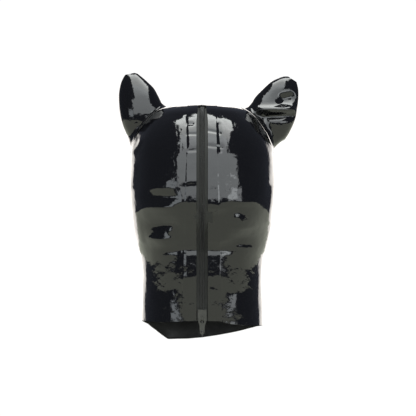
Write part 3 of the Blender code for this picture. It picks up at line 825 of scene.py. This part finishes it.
def latex_material():
    material, tree, shader = new_material("black_latex")
    shader.inputs["Base Color"].default_value = (0.0022, 0.0022, 0.0027, 1)
    shader.inputs["IOR"].default_value = 1.52
    shader.inputs["Coat Weight"].default_value = 0.0
    place = tree.nodes.new("ShaderNodeTexCoord")
    cloudy = tree.nodes.new("ShaderNodeTexNoise")
    cloudy.inputs["Scale"].default_value = 38.0
    cloudy.inputs["Detail"].default_value = 3.0
    tree.links.new(place.outputs["Object"], cloudy.inputs["Vector"])
    gloss = tree.nodes.new("ShaderNodeMapRange")
    gloss.inputs["From Min"].default_value = 0.3
    gloss.inputs["From Max"].default_value = 0.7
    gloss.inputs["To Min"].default_value = 0.035
    gloss.inputs["To Max"].default_value = 0.085
    tree.links.new(cloudy.outputs["Fac"], gloss.inputs["Value"])
    tree.links.new(gloss.outputs["Result"], shader.inputs["Roughness"])
    ripple = tree.nodes.new("ShaderNodeTexNoise")
    ripple.inputs["Scale"].default_value = 330.0
    ripple.inputs["Detail"].default_value = 2.0
    tree.links.new(place.outputs["Object"], ripple.inputs["Vector"])
    bump = tree.nodes.new("ShaderNodeBump")
    bump.inputs["Strength"].default_value = 1.0
    bump.inputs["Distance"].default_value = 0.0001
    tree.links.new(ripple.outputs["Fac"], bump.inputs["Height"])
    tree.links.new(bump.outputs["Normal"], shader.inputs["Normal"])
    return material


def mottled(name, scale, dark, light, roughness):
    """A plain material whose colour varies a little with fine noise."""
    material, tree, shader = new_material(name)
    shader.inputs["Roughness"].default_value = roughness
    place = tree.nodes.new("ShaderNodeTexCoord")
    speck = tree.nodes.new("ShaderNodeTexNoise")
    speck.inputs["Scale"].default_value = scale
    tree.links.new(place.outputs["Object"], speck.inputs["Vector"])
    tint = tree.nodes.new("ShaderNodeValToRGB")
    tint.color_ramp.elements[0].color = (*dark, 1)
    tint.color_ramp.elements[1].color = (*light, 1)
    tree.links.new(speck.outputs["Fac"], tint.inputs["Fac"])
    tree.links.new(tint.outputs["Color"], shader.inputs["Base Color"])
    return material


def inside_material():
    return mottled("latex_inside", 60.0, (0.010, 0.010, 0.011), (0.016, 0.016, 0.018), 0.35)


def edge_material():
    return mottled("latex_cut_edge", 200.0, (0.030, 0.030, 0.028), (0.060, 0.060, 0.055), 0.45)


def tape_material():
    material, tree, shader = new_material("woven_tape")
    shader.inputs["Roughness"].default_value = 0.85
    shader.inputs["Sheen Weight"].default_value = 0.03
    place = tree.nodes.new("ShaderNodeTexCoord")
    weave = tree.nodes.new("ShaderNodeTexWave")
    weave.bands_direction = "Z"
    weave.inputs["Scale"].default_value = 420.0
    weave.inputs["Distortion"].default_value = 1.2
    tree.links.new(place.outputs["Object"], weave.inputs["Vector"])
    tint = tree.nodes.new("ShaderNodeValToRGB")
    tint.color_ramp.elements[0].color = (0.006, 0.0062, 0.0052, 1)
    tint.color_ramp.elements[1].color = (0.014, 0.0145, 0.0125, 1)
    tree.links.new(weave.outputs["Fac"], tint.inputs["Fac"])
    tree.links.new(tint.outputs["Color"], shader.inputs["Base Color"])
    bump = tree.nodes.new("ShaderNodeBump")
    bump.inputs["Strength"].default_value = 0.5
    bump.inputs["Distance"].default_value = 0.0002
    tree.links.new(weave.outputs["Fac"], bump.inputs["Height"])
    tree.links.new(bump.outputs["Normal"], shader.inputs["Normal"])
    return material


def coil_material():
    material, tree, shader = new_material("nylon_coil")
    shader.inputs["Roughness"].default_value = 0.5
    place = tree.nodes.new("ShaderNodeTexCoord")
    grime = tree.nodes.new("ShaderNodeTexNoise")
    grime.inputs["Scale"].default_value = 300.0
    tree.links.new(place.outputs["Object"], grime.inputs["Vector"])
    tint = tree.nodes.new("ShaderNodeValToRGB")
    tint.color_ramp.elements[0].color = (0.005, 0.005, 0.0045, 1)
    tint.color_ramp.elements[1].color = (0.012, 0.012, 0.011, 1)
    tree.links.new(grime.outputs["Fac"], tint.inputs["Fac"])
    tree.links.new(tint.outputs["Color"], shader.inputs["Base Color"])
    return material


def metal_material():
    material, tree, shader = new_material("gunmetal")
    shader.inputs["Metallic"].default_value = 1.0
    place = tree.nodes.new("ShaderNodeTexCoord")
    worn = tree.nodes.new("ShaderNodeTexNoise")
    worn.inputs["Scale"].default_value = 700.0
    worn.inputs["Detail"].default_value = 4.0
    tree.links.new(place.outputs["Object"], worn.inputs["Vector"])
    tint = tree.nodes.new("ShaderNodeValToRGB")
    tint.color_ramp.elements[0].color = (0.035, 0.035, 0.032, 1)
    tint.color_ramp.elements[1].color = (0.075, 0.074, 0.067, 1)
    tree.links.new(worn.outputs["Fac"], tint.inputs["Fac"])
    tree.links.new(tint.outputs["Color"], shader.inputs["Base Color"])
    gloss = tree.nodes.new("ShaderNodeMapRange")
    gloss.inputs["To Min"].default_value = 0.28
    gloss.inputs["To Max"].default_value = 0.45
    tree.links.new(worn.outputs["Fac"], gloss.inputs["Value"])
    tree.links.new(gloss.outputs["Result"], shader.inputs["Roughness"])
    return material


def dress_metal(material):
    for node in ("zip_slider", "zip_pull", "zip_end_stop"):
        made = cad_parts[node]
        made.data.materials.clear()
        made.data.materials.append(material)
        edges = made.modifiers.new("edges", "BEVEL")
        edges.width = METAL_EDGE
        edges.segments = 3
        edges.limit_method = "ANGLE"
        edges.angle_limit = math.radians(METAL_EDGE_ANGLE)
        edges.harden_normals = True


def make_floor():
    turns = [2 * math.pi * k / FLOOR_SIDES for k in range(FLOOR_SIDES)]
    rim = [(FLOOR_RADIUS * math.cos(t), FLOOR_RADIUS * math.sin(t), FLOOR_HEIGHT) for t in turns]
    material, tree, shader = new_material("pale_floor")
    shader.inputs["Base Color"].default_value = (0.50, 0.50, 0.42, 1)
    shader.inputs["Roughness"].default_value = 0.9
    shader.inputs["Specular IOR Level"].default_value = 0.1
    made = mesh_object("floor", rim, [tuple(range(FLOOR_SIDES))], material)


class WorldGraph:
    """Builds the studio's light as a function of direction."""

    def __init__(self, tree):
        self.tree = tree
        place = tree.nodes.new("ShaderNodeTexCoord")
        split = tree.nodes.new("ShaderNodeSeparateXYZ")
        tree.links.new(place.outputs["Generated"], split.inputs["Vector"])
        self.x, self.y, self.z = (split.outputs[k] for k in "XYZ")

    def math(self, operation, first, second=None):
        node = self.tree.nodes.new("ShaderNodeMath")
        node.operation = operation
        for socket, value in zip(node.inputs, (first, second)):
            if value is None:
                continue
            if isinstance(value, (int, float)):
                socket.default_value = value
            else:
                self.tree.links.new(value, socket)
        return node.outputs[0]

    def ramp(self, value, low, high):
        """0 below low and 1 above high, smoothly."""
        node = self.tree.nodes.new("ShaderNodeMapRange")
        node.interpolation_type = "SMOOTHSTEP"
        node.inputs["From Min"].default_value = low
        node.inputs["From Max"].default_value = high
        self.tree.links.new(value, node.inputs["Value"])
        return node.outputs["Result"]

    def window(self, value, low, high, soft):
        rise = self.ramp(value, low - soft, low + soft)
        fall = self.ramp(value, high - soft, high + soft)
        return self.math("MULTIPLY", rise, self.math("SUBTRACT", 1.0, fall))


# A lit panel: lift is degrees up from the level towards the camera and over the top, side is degrees to
# the right as seen by the camera, and power its radiance at the low and the high end.
Panel = namedtuple("Panel", "lift_from lift_to side_from side_to soft low_power high_power color")
PANELS = [
    Panel(2.5, 33, -35, 54, 0.8, 2.6, 3.0, (0.95, 1.0, 1.01)),
    Panel(33, 60, -24, 30, 0.8, 3.0, 5.0, (0.95, 1.0, 1.01)),
    Panel(60, 101, -24, 30, 0.8, 5.0, 9.5, (0.97, 1.0, 0.98)),
    Panel(-5, 12, -58, -36, 1.5, 2.7, 2.7, (0.93, 1.0, 1.04)),
    Panel(-5, 12, 34, 66, 1.5, 2.9, 2.9, (0.95, 1.0, 1.02)),
]
STUDIO_DARK = (0.10, 0.11, 0.14)
BACKDROP_POWER = 2.4
BACKDROP_COLOR = (1.0, 0.955, 0.91)


def make_world():
    world = bpy.data.worlds.new("studio")
    bpy.context.scene.world = world
    world.use_nodes = True
    tree = world.node_tree
    tree.nodes.clear()
    graph = WorldGraph(tree)
    lift = graph.math("MULTIPLY", graph.math("ARCTAN2", graph.z, graph.y), 180 / math.pi)
    side = graph.math("MULTIPLY", graph.math("ARCSINE", graph.math("MULTIPLY", graph.x, -1.0)), 180 / math.pi)

    def tinted(color, factor):
        node = tree.nodes.new("ShaderNodeVectorMath")
        node.operation = "SCALE"
        node.inputs[0].default_value = color
        tree.links.new(factor, node.inputs["Scale"])
        return node.outputs[0]

    def added(first, second):
        node = tree.nodes.new("ShaderNodeVectorMath")
        node.operation = "ADD"
        tree.links.new(first, node.inputs[0])
        tree.links.new(second, node.inputs[1])
        return node.outputs[0]

    behind = graph.math(
        "MULTIPLY",
        graph.ramp(graph.math("MULTIPLY", graph.y, -1.0), 0.76, 0.82),
        graph.math("SUBTRACT", 1.0, graph.ramp(graph.z, 0.18, 0.30)),
    )
    total = tinted(BACKDROP_COLOR, graph.math("MULTIPLY", behind, BACKDROP_POWER))
    total = added(total, tinted(STUDIO_DARK, graph.math("SUBTRACT", 1.0, behind)))
    for panel in PANELS:
        shown = graph.math(
            "MULTIPLY",
            graph.window(lift, panel.lift_from, panel.lift_to, panel.soft),
            graph.window(side, panel.side_from, panel.side_to, panel.soft),
        )
        climb = graph.ramp(lift, panel.lift_from, panel.lift_to)
        power = graph.math(
            "ADD",
            graph.math("MULTIPLY", climb, panel.high_power - panel.low_power),
            panel.low_power,
        )
        total = added(total, tinted(panel.color, graph.math("MULTIPLY", shown, power)))
    studio = tree.nodes.new("ShaderNodeBackground")
    tree.links.new(total, studio.inputs["Color"])
    pale = tree.nodes.new("ShaderNodeBackground")
    pale.inputs["Color"].default_value = (1.0, 1.0, 1.0, 1.0)
    pale.inputs["Strength"].default_value = 1.05
    path = tree.nodes.new("ShaderNodeLightPath")
    mix = tree.nodes.new("ShaderNodeMixShader")
    tree.links.new(path.outputs["Is Camera Ray"], mix.inputs["Fac"])
    tree.links.new(studio.outputs["Background"], mix.inputs[1])
    tree.links.new(pale.outputs["Background"], mix.inputs[2])
    out = tree.nodes.new("ShaderNodeOutputWorld")
    tree.links.new(mix.outputs["Shader"], out.inputs["Surface"])
    bpy.context.scene.view_settings.view_transform = "Standard"


def make_camera():
    data = bpy.data.cameras.new("camera")
    data.sensor_width = SENSOR
    data.lens = SENSOR * CAMERA_DISTANCE / (FRAME_PIXELS * PIXEL)
    camera = bpy.data.objects.new("camera", data)
    bpy.context.scene.collection.objects.link(camera)
    middle = FRAME_PIXELS / 2
    x = (MIDDLE_PIXEL_X - middle) * PIXEL
    z = (CROWN_PIXEL_Y - middle) * PIXEL
    camera.location = (x, CAMERA_DISTANCE, z)
    camera.rotation_euler = (math.pi / 2, 0, math.pi)
    data.clip_end = 200.0
    bpy.context.scene.camera = camera


make_camera()
make_world()
make_floor()
latex = latex_material()
latex_skins = (latex, inside_material(), edge_material())
grids = [make_hood(side, latex_skins) for side in ("left", "right")]
tree = head_tree(grids)
for ear in EARS:
    make_ear(ear, tree, latex_skins)
make_snout(tree, latex)
tape = tape_material()
for side in ("left", "right"):
    make_tape(side, tape)
make_chain(coil_material())
dress_metal(metal_material())
